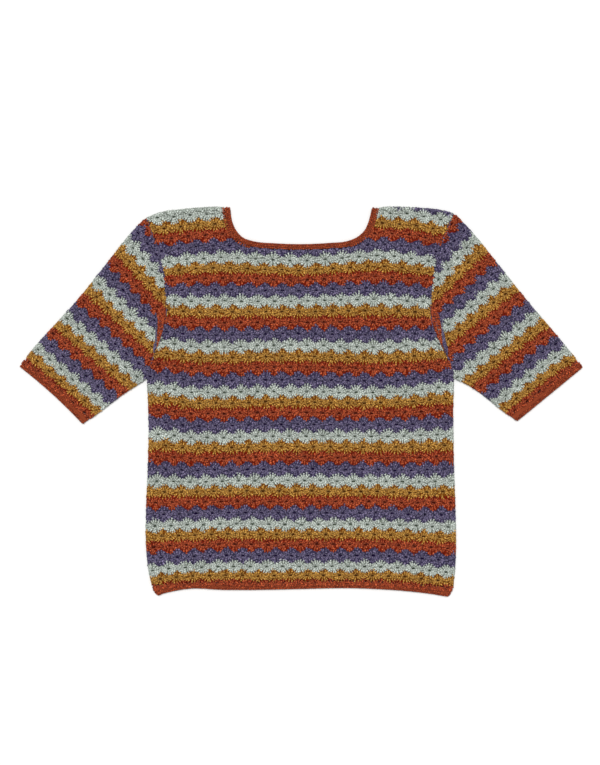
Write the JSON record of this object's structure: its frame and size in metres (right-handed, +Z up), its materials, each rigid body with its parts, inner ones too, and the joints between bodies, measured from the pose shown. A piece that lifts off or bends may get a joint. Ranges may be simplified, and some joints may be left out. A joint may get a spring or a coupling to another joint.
{
  "type": "crochet top",
  "caption": "Short-sleeved striped crochet top with a square neck, laid flat with its front up: a front and a back panel, two set-in sleeves, and plain bands at the neck, hem and cuffs",
  "frame": {"origin": "centre of the laid-out garment's bounding box, on the surface that it lies on", "axes": "+X across the chest towards the wearer's left, +Y up the garment to the neck, +Z up from the surface out of the front"},
  "size_m": [0.8434, 0.5842, 0.0076],
  "materials": {
    "striped_crochet": "matt cotton crochet striped in four yarns",
    "rust_crochet": "matt cotton, single crochet in rust",
    "mint_yarn": "matt cotton yarn, pale mint",
    "mustard_yarn": "matt cotton yarn, mustard",
    "rust_yarn": "matt cotton yarn, rust",
    "plum_yarn": "matt cotton yarn, plum"
  },
  "bodies": {
    "root": {"back": "striped_crochet", "front": "striped_crochet", "sleeve_right": "striped_crochet", "sleeve_left": "striped_crochet", "cuff_right": "rust_crochet", "cuff_left": "rust_crochet", "hem_band": "rust_crochet", "neck_edging": "rust_crochet"}
  },
  "joints": []
}
